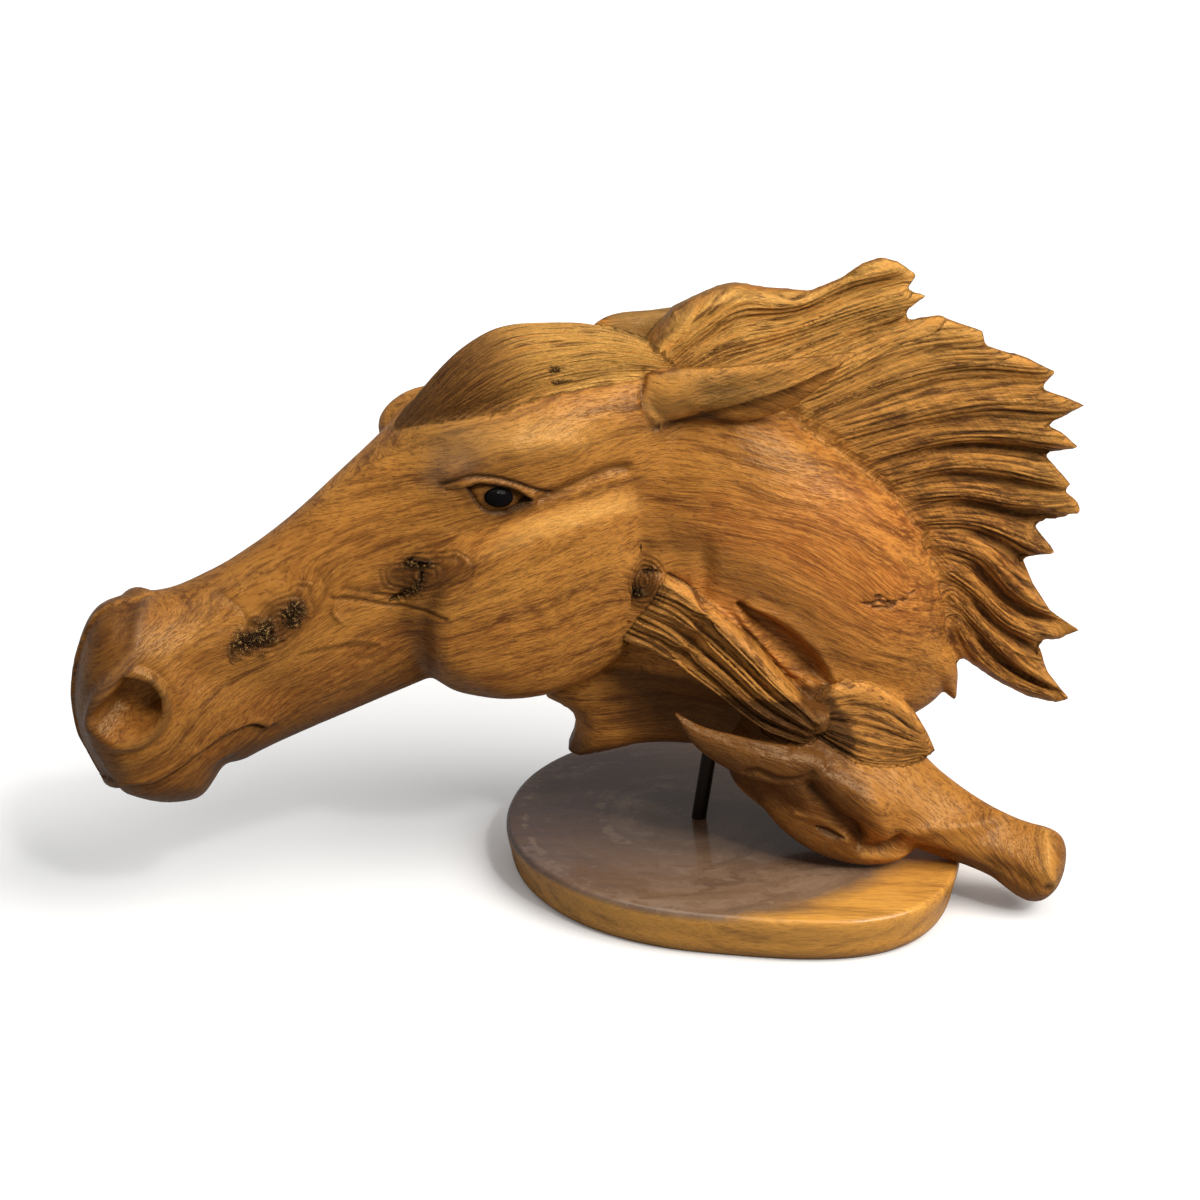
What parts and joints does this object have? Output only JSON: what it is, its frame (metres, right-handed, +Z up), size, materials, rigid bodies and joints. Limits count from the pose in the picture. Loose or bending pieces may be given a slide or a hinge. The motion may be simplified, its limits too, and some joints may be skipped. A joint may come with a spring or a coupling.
{
  "type": "horse head sculpture",
  "caption": "Carved wooden horse head with a streaming mane and a foal's head beneath it, held by a steel rod on a rounded wooden base.",
  "frame": {"origin": "a point on the base's underside, near its middle", "axes": "+Z up, +X from the horse's muzzle towards its mane, -Y towards the side that shows the horse's left cheek"},
  "size_m": [0.4922, 0.2176, 0.3089],
  "materials": {
    "carved_hardwood": "varnished, semi-gloss, with open grain, knots and a crack",
    "black_bead": "polished black",
    "dark_steel": "dark satin",
    "polished_slab": "polished top, golden sides"
  },
  "bodies": {
    "root": {"horse_carving": "carved_hardwood", "left_eye_bead": "black_bead", "right_eye_bead": "black_bead", "support_rod": "dark_steel", "wooden_base": "polished_slab"}
  },
  "joints": []
}
